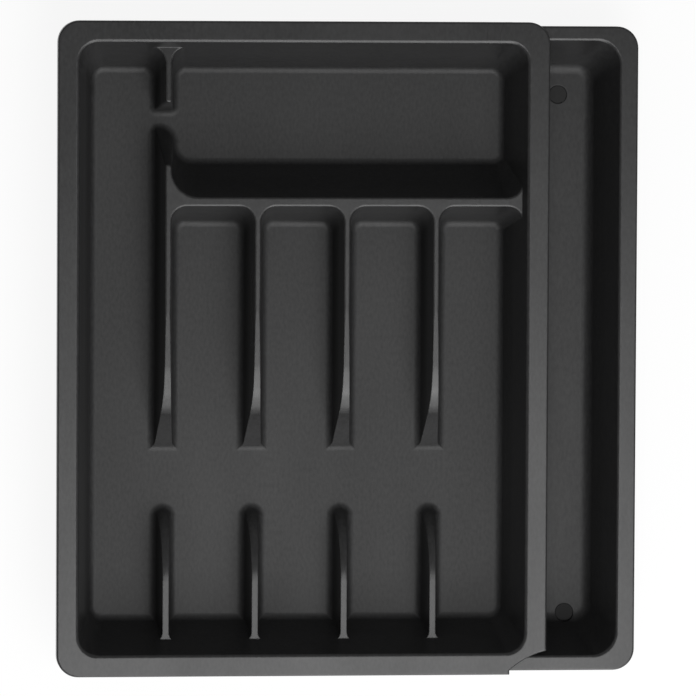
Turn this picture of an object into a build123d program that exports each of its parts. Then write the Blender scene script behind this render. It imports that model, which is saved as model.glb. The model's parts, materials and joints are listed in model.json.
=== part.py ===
from build123d import *
import os
from math import asin, cos, radians, sin, tan

# An expandable cutlery tray: a divided main tray, and an extension tray that slides out from under it
# to the right. Millimetres, +Z up, +X to the right, +Y to the back. The origin is on the table, under
# the middle of the tray as it stands with the extension a little way out.

# Overall sizes
main_length = 295.0
tray_depth = 392.0
tray_height = 50.0
shown_extension = 53.6
wall = 1.8
overrun = 5.0
wall_overlap = 0.3

# Levels: the rubber feet, the extension's floor on them, and the main tray's floor above that
foot_height = 2.0
floor_gap = 0.7
flange_gap = 0.5
extension_floor_z = foot_height + wall
main_under_z = extension_floor_z + floor_gap
main_floor_z = main_under_z + wall

# The main tray's rim: flat flanges, from the outer edge to where the walls start to slope down
left_flange = 12.9
right_flange = 13.2
front_flange = 12.8
back_flange = 12.6
outer_corner = 13.0
rim_corner = 11.5
floor_corner = 8.0
rim_round = 2.2
edge_round = 1.0

# Slopes of the walls, in degrees from upright, and the round where they meet the floor
side_draft = 12.5
front_draft = 22.5
back_draft = 20.0
divider_draft = 6.0
cross_front_draft = 16.5
cross_back_draft = 30.0
floor_round = 4.5

# Dividers
column_count = 5
divider_height = 35.0
ridge_width = 3.8
cross_ridge_width = 5.0
ridge_round = 1.2
back_compartment_depth = 93.0
ridge_corner = 9.5
pocket_corner = 7.0

# The finger gap across the columns, measured from the tray's front edge
ramp_top_y = 218.0
ramp_dip = 0.8
ramp_bend_y = 168.2
ramp_bend_round = 42.0
ramp_foot_y = 134.0
ramp_foot_round = 4.5
gap_middle_y = 113.0
stub_height = 25.0
stub_foot_y = 98.3
stub_top_y = 56.0
stub_steps = 6
stub_bulge_share = 0.55
stub_corner_share = 0.6
flare_length = 4.5
flare_reach = 2.2
flare_middle_length = 1.8
flare_middle_reach = 0.7

# The back stub and the first divider's end, with a narrow gap between them, measured from the back edge
gap_back_top = 48.7
gap_back_foot = 54.2
gap_front_foot = 64.2
gap_front_top = 86.0
end_foot_round = 1.2
end_top_round = 1.5
divider_end_foot_round = 9.0
divider_end_top_round = 2.0
gap_corner_foot_round = 11.5
gap_corner_top_round = 16.5
back_stub_foot_corner = 8.5
back_stub_top_corner = 10.0

# Skirt round the rim, and the scalloped relief at the front right corner
skirt_depth = 6.2
relief_length = 22.3
relief_middle_length = 12.6
relief_width = 14.3
relief_middle_width = 9.5
side_gap = 0.5

# The extension tray
extension_length = 250.0
extension_flange = 11.0
extension_draft = 14.5
extension_corner = 13.0
extension_rim_corner = 15.0
extension_floor_corner = 10.0
extension_rim_round = 1.8
extension_skirt_depth = 5.0
nest_gap = 0.7

# How far the slide opens from the place shown, and the stop tabs that limit it
open_travel = 146.0
stop_gap = 0.3
hook_length = 4.0
hook_thickness = 2.0
tab_length = 8.0

# Push-in rubber feet of the extension, in seats moulded into its floor
foot_radius = 6.5
foot_edge = 0.6
neck_radius = 3.0
head_radius = 5.3
head_thickness = 0.7
head_recess = 0.2
seat_web = 0.9
seat_gap = 0.2
seat_wall = 1.2
seat_height = 6.0
foot_right_back_x = 42.6
foot_right_front_x = 36.6
foot_left_x = 22.0
foot_back_y = 44.0
foot_front_y = 33.1

# Rubber pads of the main tray, in rings under its left end
pad_radius = 5.0
ring_wall = 1.4
ring_lift = 1.2
ring_gap = 0.15
pad_x = 35.0
pad_y = 46.0

# Places that follow from the sizes above
overall_length = main_length + shown_extension
main_left = -overall_length / 2
main_right = main_left + main_length
main_front = -tray_depth / 2
main_back = tray_depth / 2
rim_left = main_left + left_flange
rim_right = main_right - right_flange
rim_front = main_front + front_flange
rim_back = main_back - back_flange
rim_under_z = tray_height - wall
ridge_z = main_floor_z + divider_height
stub_top_z = main_floor_z + stub_height
column_pitch = (rim_right - rim_left) / column_count
divider_places = [rim_left + column_pitch * number for number in range(1, column_count)]
cross_back_y = rim_back - back_compartment_depth
cross_front_y = cross_back_y - cross_ridge_width
extension_right = overall_length / 2
extension_left = extension_right - extension_length
extension_inset = wall + side_gap
extension_rim_right = extension_right - extension_flange
extension_top_z = rim_under_z - flange_gap
extension_rim_under_z = extension_top_z - wall
nest_growth = wall + nest_gap
skirt_end_x = main_right - relief_length
main_middle_x = (main_left + main_right) / 2
hook_left_x = skirt_end_x - hook_length
hook_top_z = extension_rim_under_z - extension_skirt_depth - side_gap
hook_under_z = hook_top_z - hook_thickness
hook_reach = extension_inset + wall
tab_right_x = hook_left_x - open_travel - stop_gap
ring_radius = pad_radius + ring_gap + ring_wall
gap_plane_y = main_front + gap_middle_y
pocket_front_y = gap_plane_y - floor_round - pocket_corner


def inset(down, draft, growth):
    """How far in from its rim edge a sloping wall stands, so far down, when grown outwards."""
    return down * tan(radians(draft)) - growth / cos(radians(draft))


def main_limits(z, growth):
    """Left, right, front and back of the main tray's inside at a height, grown outwards."""
    down = tray_height - z
    left = rim_left + inset(down, side_draft, growth)
    right = rim_right - inset(down, side_draft, growth)
    front = rim_front + inset(down, front_draft, growth)
    back = rim_back - inset(down, back_draft, growth)
    return left, right, front, back


def extension_limits(z, growth):
    """The same for the extension tray, whose left end runs past its cut edge."""
    down = extension_top_z - z
    left = extension_left - outer_corner - overrun
    right = extension_rim_right - inset(down, extension_draft, growth)
    front, back = main_limits(z, nest_growth + growth)[2:]
    return left, right, front, back


def corner_at(z):
    """Corner radius of the main tray's inside at a height."""
    share = (z - main_floor_z) / (tray_height - main_floor_z)
    return floor_corner + (rim_corner - floor_corner) * share


def closed_outline(z, corners):
    """An outline at a height from its corners, each an X, a Y and the radius of its round."""
    with BuildSketch(Plane.XY.offset(z)) as outline:
        with BuildLine():
            places = [(x, y) for x, y, radius in corners]
            FilletPolyline(*places, radius=[radius for x, y, radius in corners], close=True)
        make_face()
    return outline.sketch


def plan(z, limits, radii):
    """A four-sided outline at a height, with its corner radii from front left round to back left."""
    left, right, front, back = limits
    places = [(left, front), (right, front), (right, back), (left, back)]
    return closed_outline(z, [(x, y, radius) for (x, y), radius in zip(places, radii)])


def tapered(low, high):
    """A solid that runs straight from one outline to another above it."""
    with BuildPart() as block:
        loft(sections=[low, high], ruled=True)
    return block.part


def pocket(low, high, bottom_round):
    """A tapered solid with its lower edge rounded."""
    with BuildPart() as solid:
        loft(sections=[low, high], ruled=True)
        fillet(solid.edges().group_by(Axis.Z)[0], radius=bottom_round)
    return solid.part


def block(left, right, front, back, low_z, high_z):
    """A plain block between six named places."""
    with BuildPart() as solid:
        with BuildSketch(Plane.XY.offset(low_z)):
            with Locations(((left + right) / 2, (front + back) / 2)):
                Rectangle(right - left, back - front)
        extrude(amount=high_z - low_z)
    return solid.part


def open_pocket(low, high, bottom_round, mouth_round):
    """The same for a space to cut, with what stands round its mouth rounded over."""
    with BuildPart() as space:
        add(pocket(low, high, bottom_round))
        mouth_z = space.faces().sort_by(Axis.Z)[-1].center().Z
        add(block(main_left, main_right, main_front, main_back, mouth_z, mouth_z + mouth_round))
        inner_edges = space.edges().filter_by(lambda edge: edge.is_interior)
        level = (mouth_z - mouth_round / 2, mouth_z + mouth_round / 2)
        fillet(inner_edges.filter_by_position(Axis.Z, *level), radius=mouth_round)
    return space.part


def across(outline, left, right):
    """A solid that runs left to right, from an outline drawn in the Y Z plane."""
    with BuildPart() as bar:
        with BuildSketch(Plane.YZ.offset(left)):
            add(outline)
        extrude(amount=right - left)
    return bar.part


def main_basin(growth, low_z, high_z):
    """Outlines of the main tray's inside, grown outwards, at two heights."""
    return [
        plan(z, main_limits(z, growth), [corner_at(z) + growth] * 4) for z in (low_z, high_z)
    ]


def divider_half(down, cover):
    """Half the width of a divider so far down from its top, less a cover on each side."""
    return ridge_width / 2 + inset(down, divider_draft, cover)


def column_limits(number, z):
    """Sides of the pocket to the right of one of the dividers, from the finger gap back."""
    half = divider_half(ridge_z - z, 0)
    left = divider_places[number] + half
    right = main_limits(z, wall_overlap)[1]
    if number + 1 < len(divider_places):
        right = divider_places[number + 1] - half
    back = cross_front_y - inset(ridge_z - z, cross_front_draft, 0)
    return left, right, pocket_front_y, back


def column_pocket(number):
    """The space of one column, from the finger gap to the cross divider."""
    outlines = []
    for z, radius in ((main_floor_z, pocket_corner), (ridge_z, ridge_corner)):
        outlines.append(plan(z, column_limits(number, z), [radius] * 4))
    return open_pocket(*outlines, floor_round, ridge_round)


def divided_space():
    """The long left column and the wide back compartment, joined by the gap in the first divider."""
    outlines = []
    for z, corner, gap_corner, stub_corner, end_round, far_round, stub_end, divider_end in (
        (
            main_floor_z,
            pocket_corner,
            gap_corner_foot_round,
            back_stub_foot_corner,
            end_foot_round,
            divider_end_foot_round,
            main_back - gap_back_foot,
            main_back - gap_front_foot,
        ),
        (
            ridge_z,
            ridge_corner,
            gap_corner_top_round,
            back_stub_top_corner,
            end_top_round,
            divider_end_top_round,
            main_back - gap_back_top,
            main_back - gap_front_top,
        ),
    ):
        left, right, front, back = main_limits(z, wall_overlap)
        half = divider_half(ridge_z - z, 0)
        near, far = divider_places[0] - half, divider_places[0] + half
        cross_y = cross_back_y + inset(ridge_z - z, cross_back_draft, 0)
        corners = [
            (left, pocket_front_y, corner),
            (near, pocket_front_y, corner),
            (near, divider_end, end_round),
            (far, divider_end, far_round),
            (far, cross_y, gap_corner),
            (right, cross_y, corner),
            (right, back, corner_at(z) + wall_overlap),
            (far, back, stub_corner),
            (far, stub_end, end_round),
            (near, stub_end, end_round),
            (near, back, stub_corner),
            (left, back, corner_at(z) + wall_overlap),
        ]
        outlines.append(closed_outline(z, corners))
    return open_pocket(*outlines, floor_round, ridge_round)


def stub_sections():
    """Outlines of a front stub up to its ridge: its end leans back in an arc and is bowed in plan."""
    run = stub_foot_y - stub_top_y
    radius = (run**2 + stub_height**2) / (2 * stub_height)
    foot_angle = asin(run / radius)
    outlines = []
    for step in range(stub_steps + 1):
        angle = foot_angle * (1 - step / stub_steps)
        z = stub_top_z - radius * (1 - cos(angle))
        end_y = main_front + stub_top_y + radius * sin(angle)
        half = divider_half(stub_top_z - z, 0)
        side_y = end_y - half * stub_bulge_share
        with BuildSketch(Plane.XY.offset(z)) as outline:
            with BuildLine():
                Polyline((half, side_y), (half, main_front), (-half, main_front), (-half, side_y))
                ThreePointArc((-half, side_y), (0, end_y), (half, side_y))
            make_face()
            fillet(outline.vertices().group_by(Axis.Y)[-1], radius=half * stub_corner_share)
        outlines.append(outline.sketch)
    return outlines


def stub_flare():
    """How a stub's ridge widens in two arcs where it meets the front wall."""
    half = ridge_width / 2
    foot_y = main_limits(stub_top_z, wall_overlap)[2]
    with BuildPart() as flare:
        with BuildSketch(Plane.XY.offset(main_floor_z)):
            with BuildLine():
                ThreePointArc(
                    (half, foot_y + flare_length),
                    (half + flare_middle_reach, foot_y + flare_middle_length),
                    (half + flare_reach, foot_y),
                )
                Polyline(
                    (half + flare_reach, foot_y),
                    (half + flare_reach, main_front),
                    (0, main_front),
                    (0, foot_y + flare_length),
                    (half, foot_y + flare_length),
                )
            make_face()
            mirror(about=Plane.YZ)
        extrude(amount=stub_height)
    return flare.part


def front_space():
    """The space in front of the finger gap's middle, round the four stubs on the front wall."""
    with BuildPart() as stub:
        loft(sections=stub_sections())
    flare = stub_flare()
    with BuildPart() as space:
        add(tapered(*main_basin(wall_overlap, main_floor_z, ridge_z + overrun)))
        split(bisect_by=Plane.XZ.offset(-gap_plane_y), keep=Keep.TOP)
        for place in divider_places:
            add(stub.part.moved(Location((place, 0, 0))), mode=Mode.SUBTRACT)
        floor_edges = space.edges().group_by(Axis.Z)[0]
        fillet(floor_edges.group_by(Axis.Y)[:-1], radius=floor_round)
        for place in divider_places:
            add(flare.moved(Location((place, 0, 0))), mode=Mode.SUBTRACT)
    return space.part


def ramp_outline():
    """Side view of the finger gap's back half: the ridges' slight dip, the dividers' ends, the floor."""
    ramp_top = (main_front + ramp_top_y, ridge_z)
    ramp_bend = (main_front + ramp_bend_y, ridge_z - ramp_dip)
    ramp_foot = (main_front + ramp_foot_y, main_floor_z)
    with BuildSketch() as outline:
        with BuildLine():
            Polyline(
                ramp_top,
                ramp_bend,
                ramp_foot,
                (pocket_front_y, main_floor_z),
                (pocket_front_y, ridge_z),
                close=True,
            )
        make_face()
        fillet(outline.vertices().sort_by_distance(ramp_bend)[0], radius=ramp_bend_round)
        fillet(outline.vertices().sort_by_distance(ramp_foot)[0], radius=ramp_foot_round)
    return outline.sketch


def stub_outline():
    """Side view of the finger gap's front half: the floor, the arc of the stubs' ends, and their tops."""
    stub_foot = (main_front + stub_foot_y, main_floor_z)
    stub_top = (main_front + stub_top_y, stub_top_z)
    with BuildSketch() as outline:
        with BuildLine():
            TangentArc(stub_top, stub_foot, tangent=(1, 0))
            Polyline(
                stub_foot,
                (gap_plane_y, main_floor_z),
                (gap_plane_y, ridge_z),
                (main_front, ridge_z),
                (main_front, stub_top_z),
                stub_top,
            )
        make_face()
    return outline.sketch


def hollow_bar(place, front, back, top_z):
    """The space inside a divider or stub, one wall's thickness within it, from front to back."""
    low_z = main_under_z - overrun
    low_half = divider_half(top_z - low_z, wall)
    tip_half = wall / 3
    skin = wall / cos(radians(divider_draft))
    tip_z = top_z - (skin + tip_half - ridge_width / 2) / tan(radians(divider_draft))
    with BuildPart() as bar:
        with BuildSketch(Plane.XZ.offset(-back)):
            with BuildLine():
                Polyline(
                    (place - low_half, low_z),
                    (place + low_half, low_z),
                    (place + tip_half, tip_z),
                    (place - tip_half, tip_z),
                    close=True,
                )
            make_face()
        extrude(amount=back - front)
    return bar.part


def divider_hollows():
    """The space inside the dividers and stubs, open from beneath."""
    low_z = main_under_z - overrun
    cross_top_z = ridge_z - wall
    with BuildPart() as hollow:
        for place in divider_places:
            back = cross_front_y if place > divider_places[0] else cross_back_y
            add(hollow_bar(place, gap_plane_y, back, ridge_z))
            add(hollow_bar(place, main_front, gap_plane_y, stub_top_z))
        with BuildSketch(Plane.YZ.offset(divider_places[0])):
            with BuildLine():
                Polyline(
                    (cross_front_y - inset(ridge_z - low_z, cross_front_draft, wall), low_z),
                    (cross_back_y + inset(ridge_z - low_z, cross_back_draft, wall), low_z),
                    (cross_back_y + inset(wall, cross_back_draft, wall), cross_top_z),
                    (cross_front_y - inset(wall, cross_front_draft, wall), cross_top_z),
                    close=True,
                )
            make_face()
        extrude(amount=main_right - divider_places[0])
        add(tapered(*main_basin(0, low_z, ridge_z)), mode=Mode.INTERSECT)
        for outline in (ramp_outline(), stub_outline()):
            with BuildSketch(Plane.YZ.offset(main_left)):
                add(outline)
                offset(amount=wall)
            extrude(amount=main_length, mode=Mode.SUBTRACT)
    return hollow.part


def opening_edges(tray, limits):
    """The edges of a tray's rim that go round its opening."""
    left, right, front, back = limits
    edges = tray.edges().group_by(Axis.Z)[-1]
    inside_x = edges.filter_by_position(Axis.X, left - edge_round, right + edge_round)
    return inside_x.filter_by_position(Axis.Y, front - edge_round, back + edge_round)


def rim_plate(level, length, width, corner, middle_x, cut):
    """A flat rim of one wall's thickness under a level, less a cut, with its top edge rounded."""
    with BuildPart() as plate:
        with BuildSketch(Plane.XY.offset(level - wall)):
            with Locations((middle_x, 0)):
                RectangleRounded(length, width, corner)
            add(cut, mode=Mode.SUBTRACT)
        extrude(amount=wall)
        fillet(plate.edges().group_by(Axis.Z)[-1], radius=edge_round)
    return plate.part


def skirt(level, depth, length, width, corner, middle_x):
    """A wall that hangs down from a level, all round a rounded outline."""
    with BuildPart() as ring:
        with BuildSketch(Plane.XY.offset(level - depth)):
            with Locations((middle_x, 0)):
                RectangleRounded(length, width, corner)
                RectangleRounded(length - 2 * wall, width - 2 * wall, corner - wall, mode=Mode.SUBTRACT)
        extrude(amount=depth)
    return ring.part


def post(x, y, radius, low_z, high_z):
    """An upright round post."""
    with BuildPart() as solid:
        with BuildSketch(Plane.XY.offset(low_z)):
            with Locations((x, y)):
                Circle(radius)
        extrude(amount=high_z - low_z)
    return solid.part


# Main tray
ramp_margin = column_pitch / 2
main_spaces = [
    block(main_left, main_right, main_front, main_back, ridge_z, tray_height + overrun),
    front_space(),
    divided_space(),
    *[column_pocket(number) for number in range(len(divider_places))],
    across(ramp_outline(), divider_places[0] - ramp_margin, divider_places[-1] + ramp_margin),
]

with BuildPart() as main_space:
    for space in main_spaces:
        add(space)
    basin = open_pocket(*main_basin(0, main_floor_z, tray_height), floor_round, rim_round)
    add(basin, mode=Mode.INTERSECT)

with BuildPart() as main_skirt:
    add(skirt(rim_under_z, skirt_depth, main_length, tray_depth, outer_corner, main_middle_x))
    split(bisect_by=Plane.YZ.offset(skirt_end_x), keep=Keep.BOTTOM)

with BuildSketch() as relief:
    with BuildLine():
        start = (skirt_end_x, main_front + extension_inset)
        middle = (main_right - relief_middle_length, main_front + relief_middle_width)
        end = (main_right, main_front + relief_width)
        ThreePointArc(start, middle, end)
        Polyline(
            end,
            (main_right + overrun, main_front + relief_width),
            (main_right + overrun, main_front - overrun),
            (skirt_end_x, main_front - overrun),
            start,
        )
    make_face()
main_rim = rim_plate(tray_height, main_length, tray_depth, outer_corner, main_middle_x, relief.sketch)

with BuildPart() as main_tray:
    add(pocket(*main_basin(wall, main_under_z, tray_height - wall / 2), floor_round + wall))
    add(main_rim)
    add(main_skirt.part)
    for edge_y, inward in ((main_front, 1), (main_back, -1)):
        inner_y = edge_y + inward * hook_reach
        tab_y = edge_y + inward * wall
        hook_sides = sorted((edge_y, inner_y))
        tab_sides = sorted((edge_y, tab_y))
        add(block(hook_left_x, skirt_end_x, *hook_sides, hook_under_z, hook_top_z))
        add(block(hook_left_x, skirt_end_x, *tab_sides, hook_under_z, rim_under_z))
        pad_place = edge_y + inward * pad_y
        add(post(main_left + pad_x, pad_place, ring_radius, ring_lift, main_under_z))
        pad_seat = post(main_left + pad_x, pad_place, pad_radius + ring_gap, 0, main_under_z)
        add(pad_seat, mode=Mode.SUBTRACT)
    add(main_space.part, mode=Mode.SUBTRACT)
    add(divider_hollows(), mode=Mode.SUBTRACT)
main_tray.part.label = "main_tray"

# Extension tray: the same walls one gap further out, a right wall, and an open left end
extension_inner = [
    plan(z, extension_limits(z, 0), [corner] * 4)
    for z, corner in (
        (extension_floor_z, extension_floor_corner),
        (extension_top_z + overrun, extension_rim_corner),
    )
]
extension_outer = [
    plan(z, extension_limits(z, wall), [corner + wall] * 4)
    for z, corner in (
        (foot_height, extension_floor_corner),
        (extension_top_z - wall / 2, extension_rim_corner),
    )
]
extension_space = pocket(*extension_inner, floor_round + nest_growth)
extension_width = tray_depth - 2 * extension_inset
foot_places = {
    "back_right": (extension_right - foot_right_back_x, main_back - foot_back_y),
    "front_right": (extension_right - foot_right_front_x, main_front + foot_front_y),
    "back_left": (extension_left + foot_left_x, main_back - foot_back_y),
    "front_left": (extension_left + foot_left_x, main_front + foot_front_y),
}
seat_radius = head_radius + seat_gap
seat_floor_z = foot_height + seat_web
reach = extension_length + outer_corner + overrun
reach_middle_x = extension_right - reach / 2
extension_rim = rim_plate(extension_top_z, reach, extension_width, extension_corner, reach_middle_x, [])

with BuildPart() as extension_tray:
    add(pocket(*extension_outer, floor_round + nest_growth + wall))
    add(extension_rim)
    add(
        skirt(
            extension_rim_under_z,
            extension_skirt_depth,
            reach,
            extension_width,
            extension_corner,
            reach_middle_x,
        )
    )
    for edge_y, inward in ((main_front, 1), (main_back, -1)):
        outer_y = edge_y + inward * extension_inset
        tab_sides = sorted((outer_y, outer_y + inward * wall))
        add(block(tab_right_x - tab_length, tab_right_x, *tab_sides, hook_under_z, extension_top_z))
    for x, y in foot_places.values():
        add(post(x, y, seat_radius + seat_wall, foot_height, foot_height + seat_height))
    add(extension_space, mode=Mode.SUBTRACT)
    for x, y in foot_places.values():
        add(post(x, y, seat_radius, seat_floor_z, extension_top_z), mode=Mode.SUBTRACT)
        add(post(x, y, neck_radius + seat_gap, 0, seat_floor_z), mode=Mode.SUBTRACT)
    split(bisect_by=Plane.YZ.offset(extension_left), keep=Keep.TOP)
    rim_edges = opening_edges(extension_tray, extension_limits(extension_top_z, 0))
    right_edges = rim_edges.filter_by_position(Axis.X, extension_left + edge_round, extension_right)
    fillet(right_edges, radius=extension_rim_round)
extension_tray.part.label = "extension_tray"

# Rubber feet
feet = {}
for name, (x, y) in foot_places.items():
    with BuildPart() as foot:
        add(post(x, y, foot_radius, 0, foot_height))
        fillet(foot.edges().group_by(Axis.Z)[0], radius=foot_edge)
        add(post(x, y, neck_radius, foot_height, seat_floor_z))
        add(post(x, y, head_radius, seat_floor_z, seat_floor_z + head_thickness))
        fillet(foot.edges().group_by(Axis.Z)[-1], radius=head_recess)
    feet["extension_foot_" + name] = foot.part
for name, y in (("back_left", main_back - pad_y), ("front_left", main_front + pad_y)):
    with BuildPart() as pad:
        add(post(main_left + pad_x, y, pad_radius, 0, main_under_z))
        fillet(pad.edges().group_by(Axis.Z)[0], radius=foot_edge)
    feet["main_foot_" + name] = pad.part

os.makedirs("parts", exist_ok=True)
export_step(main_tray.part, "parts/main_tray.step")
export_step(extension_tray.part, "parts/extension_tray.step")
for name, solid in feet.items():
    solid.label = name
    export_step(solid, "parts/" + name + ".step")
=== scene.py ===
import json
from math import radians

import bpy
from mathutils import Euler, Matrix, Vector

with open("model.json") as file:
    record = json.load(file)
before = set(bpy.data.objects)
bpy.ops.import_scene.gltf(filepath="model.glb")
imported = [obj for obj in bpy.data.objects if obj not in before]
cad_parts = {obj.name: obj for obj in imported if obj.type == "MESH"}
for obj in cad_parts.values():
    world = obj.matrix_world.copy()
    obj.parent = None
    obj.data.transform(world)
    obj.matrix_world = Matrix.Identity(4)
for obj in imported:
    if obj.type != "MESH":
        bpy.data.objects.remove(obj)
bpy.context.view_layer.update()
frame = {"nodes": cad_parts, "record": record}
scene = bpy.context.scene

# Metres and degrees. The origin is on the floor under the middle of the tray, +X to the right and
# +Y to the back.
mm = 0.001

# The camera looks almost straight down, from a little to the left of the tray and behind it
camera_aim = Vector((2.4 * mm, -0.5 * mm, 25 * mm))
camera_turn = Euler((radians(-3.365), radians(-6.113), radians(0.298)))
camera_distance = 4.005
camera_lens = 344.2
sensor_width = 36.0

# Light: a dim fill from all round, a softbox over the front, and a low panel in front of the tray
fill_strength = 0.32
white = (1.0, 1.0, 1.0, 1.0)
lamp_aim = Vector((0.05, -0.1, 0.0))
softbox_place = Vector((0.24, -0.72, 1.3))
softbox_length = 0.8
softbox_width = 1.4
softbox_power = 20.0
panel_place = Vector((0.2, -1.15, 0.55))
panel_length = 0.8
panel_width = 0.9
panel_power = 8.0

# Floor
floor_half = 30.0
floor_color = (0.82, 0.82, 0.82, 1.0)
floor_roughness = 0.9
floor_glow_share = 0.9

# Shared by the materials: the values between which most of a noise lies, how fine its detail is, and how
# many rays find the roundness of an edge
noise_low = 0.3
noise_high = 0.7
smooth_detail = 1.0
fine_detail = 3.0
edge_samples = 6

# Tray plastic: black, duller on the textured floors than on the ridges and rims
plastic_dark = (0.0125, 0.0125, 0.0128, 1.0)
plastic_light = (0.0215, 0.0215, 0.0218, 1.0)
plastic_specular = 0.35
plastic_edge_round = 0.8 * mm
deep_roughness_low = 0.50
deep_roughness_high = 0.58
rim_roughness_low = 0.26
rim_roughness_high = 0.34
polish_low_z = 14 * mm
polish_high_z = 28 * mm
mottle_size = 1.6 * mm
mottle_stretch = (1.0, 0.5, 1.0)
flow_size = 60 * mm
flow_stretch = (1.0, 0.35, 1.0)
grain_size = 0.45 * mm
grain_height = 0.012 * mm
ripple_size = 14 * mm
ripple_height = 0.05 * mm

# Foot rubber: black and matt, with a coarser grain
rubber_dark = (0.012, 0.012, 0.012, 1.0)
rubber_light = (0.020, 0.020, 0.020, 1.0)
rubber_specular = 0.3
rubber_roughness_low = 0.72
rubber_roughness_high = 0.88
rubber_blotch_size = 3 * mm
rubber_grain_size = 0.35 * mm
rubber_grain_height = 0.03 * mm
rubber_edge_round = 0.25 * mm


def start_material(name):
    """A material with its nodes, and its Principled shader."""
    material = bpy.data.materials.new(name)
    material.use_nodes = True
    return material, material.node_tree, material.node_tree.nodes["Principled BSDF"]


def object_coordinates(tree, stretch=(1.0, 1.0, 1.0)):
    """Places in the piece's own space, in metres, so a pattern stays put when the piece slides."""
    places = tree.nodes.new("ShaderNodeTexCoord")
    mapping = tree.nodes.new("ShaderNodeMapping")
    mapping.inputs["Scale"].default_value = stretch
    tree.links.new(places.outputs["Object"], mapping.inputs["Vector"])
    return mapping.outputs["Vector"]


def noise(tree, coordinates, size, detail):
    """Cloudy noise whose blotches are about one size across."""
    node = tree.nodes.new("ShaderNodeTexNoise")
    node.inputs["Scale"].default_value = 1 / size
    node.inputs["Detail"].default_value = detail
    tree.links.new(coordinates, node.inputs["Vector"])
    return node.outputs["Fac"]


def spread(tree, value, low, high):
    """A noise value spread over a range."""
    node = tree.nodes.new("ShaderNodeMapRange")
    node.inputs["From Min"].default_value = noise_low
    node.inputs["From Max"].default_value = noise_high
    node.inputs["To Min"].default_value = low
    node.inputs["To Max"].default_value = high
    tree.links.new(value, node.inputs["Value"])
    return node.outputs["Result"]


def blend_colors(tree, value, first, second):
    """A colour between two, by a value."""
    node = tree.nodes.new("ShaderNodeMix")
    node.data_type = "RGBA"
    node.inputs["A"].default_value = first
    node.inputs["B"].default_value = second
    tree.links.new(value, node.inputs["Factor"])
    return node.outputs["Result"]


def height_share(tree, low, high):
    """0 below a height and 1 above another, in the piece's own space."""
    places = tree.nodes.new("ShaderNodeTexCoord")
    parts = tree.nodes.new("ShaderNodeSeparateXYZ")
    share = tree.nodes.new("ShaderNodeMapRange")
    share.inputs["From Min"].default_value = low
    share.inputs["From Max"].default_value = high
    tree.links.new(places.outputs["Object"], parts.inputs["Vector"])
    tree.links.new(parts.outputs["Z"], share.inputs["Value"])
    return share.outputs["Result"]


def blend_values(tree, value, first, second):
    """A number between two, by a value."""
    node = tree.nodes.new("ShaderNodeMix")
    tree.links.new(value, node.inputs["Factor"])
    tree.links.new(first, node.inputs["A"])
    tree.links.new(second, node.inputs["B"])
    return node.outputs["Result"]


def soft_edges(tree, radius):
    """Normals that round a sharp edge a little, as moulding does."""
    node = tree.nodes.new("ShaderNodeBevel")
    node.samples = edge_samples
    node.inputs["Radius"].default_value = radius
    return node.outputs["Normal"]


def bump(tree, height, depth, normal):
    """Normals bumped by a height between 0 and 1, so deep at 1."""
    node = tree.nodes.new("ShaderNodeBump")
    node.inputs["Distance"].default_value = depth
    tree.links.new(height, node.inputs["Height"])
    tree.links.new(normal, node.inputs["Normal"])
    return node.outputs["Normal"]


def tray_plastic():
    """Black satin plastic, mottled and faintly rippled by the moulding."""
    material, tree, shader = start_material("tray_plastic_satin")
    places = object_coordinates(tree)
    mottle = noise(tree, object_coordinates(tree, mottle_stretch), mottle_size, fine_detail)
    color = blend_colors(tree, spread(tree, mottle, 0.0, 1.0), plastic_dark, plastic_light)
    flow = noise(tree, object_coordinates(tree, flow_stretch), flow_size, fine_detail)
    roughness = blend_values(
        tree,
        height_share(tree, polish_low_z, polish_high_z),
        spread(tree, flow, deep_roughness_low, deep_roughness_high),
        spread(tree, flow, rim_roughness_low, rim_roughness_high),
    )
    edges = soft_edges(tree, plastic_edge_round)
    ripple = bump(tree, noise(tree, places, ripple_size, smooth_detail), ripple_height, edges)
    grain = bump(tree, noise(tree, places, grain_size, fine_detail), grain_height, ripple)
    shader.inputs["Specular IOR Level"].default_value = plastic_specular
    tree.links.new(color, shader.inputs["Base Color"])
    tree.links.new(roughness, shader.inputs["Roughness"])
    tree.links.new(grain, shader.inputs["Normal"])
    return material


def foot_rubber():
    """Black matt rubber with blotches and a coarse grain."""
    material, tree, shader = start_material("foot_rubber_matt")
    places = object_coordinates(tree)
    blotch = noise(tree, places, rubber_blotch_size, fine_detail)
    color = blend_colors(tree, spread(tree, blotch, 0.0, 1.0), rubber_dark, rubber_light)
    roughness = spread(tree, blotch, rubber_roughness_low, rubber_roughness_high)
    edges = soft_edges(tree, rubber_edge_round)
    grain = bump(tree, noise(tree, places, rubber_grain_size, fine_detail), rubber_grain_height, edges)
    shader.inputs["Specular IOR Level"].default_value = rubber_specular
    tree.links.new(color, shader.inputs["Base Color"])
    tree.links.new(roughness, shader.inputs["Roughness"])
    tree.links.new(grain, shader.inputs["Normal"])
    return material


def background_rays(tree):
    """1 for rays that show the background: from the camera, in gloss and through glass."""
    path = tree.nodes.new("ShaderNodeLightPath")
    total = path.outputs["Is Camera Ray"]
    for name in ("Is Glossy Ray", "Is Transmission Ray"):
        either = tree.nodes.new("ShaderNodeMath")
        either.operation = "MAXIMUM"
        tree.links.new(total, either.inputs[0])
        tree.links.new(path.outputs[name], either.inputs[1])
        total = either.outputs["Value"]
    return total


def mix_shaders(tree, value, first, second):
    """A shader between two, by a value."""
    node = tree.nodes.new("ShaderNodeMixShader")
    tree.links.new(value, node.inputs["Fac"])
    tree.links.new(first, node.inputs[1])
    tree.links.new(second, node.inputs[2])
    return node.outputs["Shader"]


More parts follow.
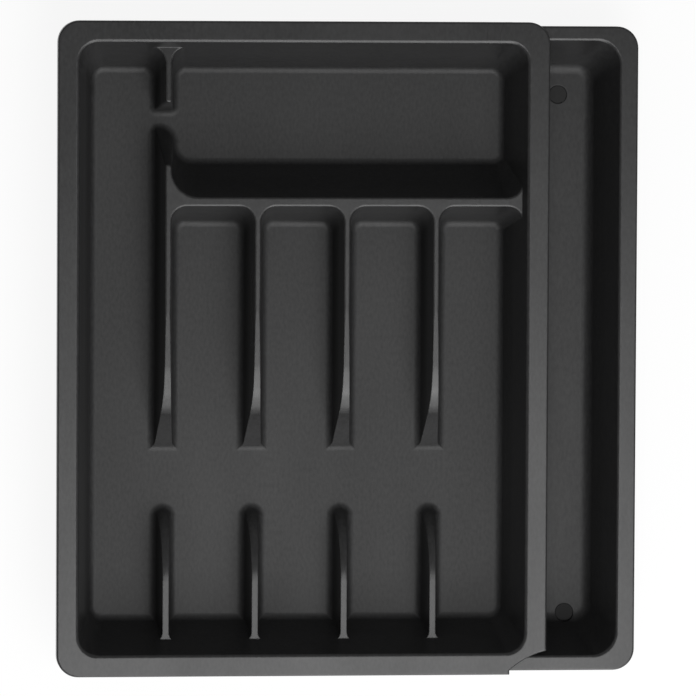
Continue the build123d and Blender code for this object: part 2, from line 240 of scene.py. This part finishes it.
def floor_material():
    """Pale, and bright enough to the camera to be white where no shadow falls."""
    material, tree, shader = start_material("studio_floor")
    shader.inputs["Base Color"].default_value = floor_color
    shader.inputs["Roughness"].default_value = floor_roughness
    glow = tree.nodes.new("ShaderNodeEmission")
    glow.inputs["Color"].default_value = white
    share = tree.nodes.new("ShaderNodeMath")
    share.operation = "MULTIPLY"
    share.inputs[1].default_value = floor_glow_share
    tree.links.new(background_rays(tree), share.inputs[0])
    shown = mix_shaders(tree, share.outputs["Value"], shader.outputs["BSDF"], glow.outputs["Emission"])
    tree.links.new(shown, tree.nodes["Material Output"].inputs["Surface"])
    return material


def lay_floor():
    """The plain floor that the tray stands on."""
    mesh = bpy.data.meshes.new("floor")
    corners = [(x * floor_half, y * floor_half, 0.0) for x, y in ((-1, -1), (1, -1), (1, 1), (-1, 1))]
    mesh.from_pydata(corners, [], [(0, 1, 2, 3)])
    mesh.materials.append(floor_material())
    floor = bpy.data.objects.new("floor", mesh)
    scene.collection.objects.link(floor)


def light_world():
    """Dim, even light from all round."""
    world = bpy.data.worlds.new("studio")
    world.use_nodes = True
    scene.world = world
    fill = world.node_tree.nodes["Background"]
    fill.inputs["Color"].default_value = white
    fill.inputs["Strength"].default_value = fill_strength


def hang_lamp(name, place, length, width, power):
    """A rectangular soft lamp turned to the tray, and hidden from the camera."""
    light = bpy.data.lights.new(name, "AREA")
    light.shape = "RECTANGLE"
    light.size = length
    light.size_y = width
    light.energy = power
    lamp = bpy.data.objects.new(name, light)
    lamp.location = place
    lamp.rotation_euler = (lamp_aim - place).to_track_quat("-Z", "Y").to_euler()
    lamp.visible_camera = False
    scene.collection.objects.link(lamp)


def place_camera():
    """The photograph's view."""
    lens = bpy.data.cameras.new("camera")
    lens.lens = camera_lens
    lens.sensor_width = sensor_width
    camera = bpy.data.objects.new("camera", lens)
    camera.rotation_euler = camera_turn
    camera.location = camera_aim + camera_turn.to_matrix() @ Vector((0, 0, camera_distance))
    scene.collection.objects.link(camera)
    scene.camera = camera


def dress(slots):
    """Gives each CAD piece the material of its slot in the record."""
    for part in frame["record"]["subparts"]:
        node = frame["nodes"][part["node"]]
        node.data.materials.clear()
        node.data.materials.append(slots[part["material_slot"]])


dress({"tray_plastic": tray_plastic(), "foot_rubber": foot_rubber()})
lay_floor()
light_world()
hang_lamp("softbox", softbox_place, softbox_length, softbox_width, softbox_power)
hang_lamp("panel", panel_place, panel_length, panel_width, panel_power)
place_camera()
scene.view_settings.view_transform = "Standard"
